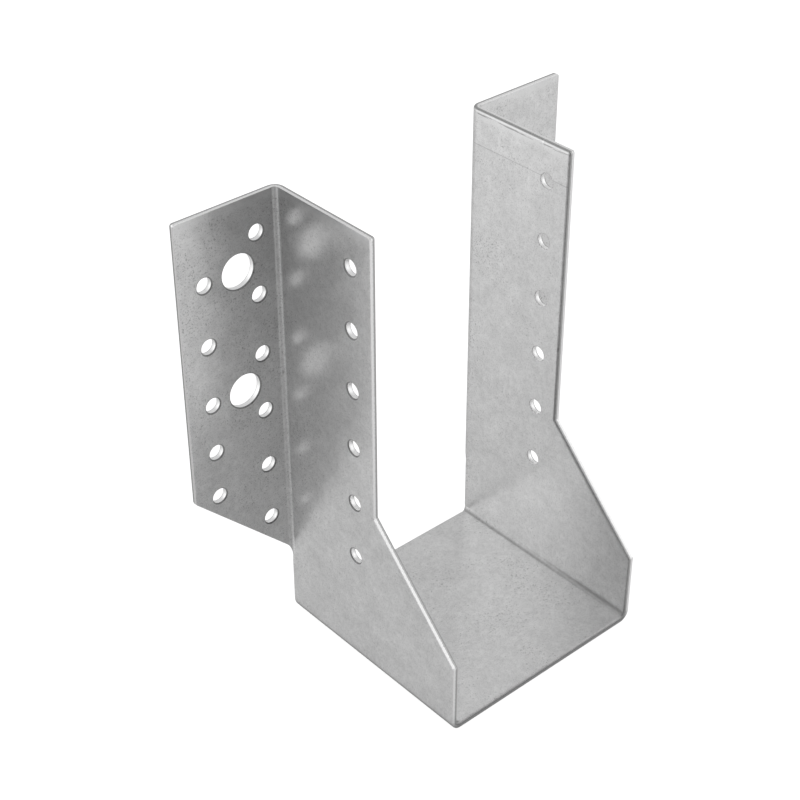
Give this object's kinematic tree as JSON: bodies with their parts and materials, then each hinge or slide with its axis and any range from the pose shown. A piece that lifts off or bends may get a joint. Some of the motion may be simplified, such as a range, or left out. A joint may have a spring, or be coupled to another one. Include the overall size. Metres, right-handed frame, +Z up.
{
  "type": "joist hanger",
  "caption": "Folded galvanised steel stirrup that carries a timber joist on its seat, with outward flanges nailed or bolted to a header.",
  "frame": {"origin": "centre of the bounding box at its bottom, on the underside of the seat, midway between the walls", "axes": "+Z up along the walls, +Y back towards the header that the flanges bear on, +X to the right seen from the joist's side"},
  "size_m": [0.146, 0.077, 0.1535],
  "materials": {
    "galvanised_steel": "hot-dip galvanised, satin, unpainted"
  },
  "bodies": {
    "root": {"hanger": "galvanised_steel"}
  },
  "joints": []
}
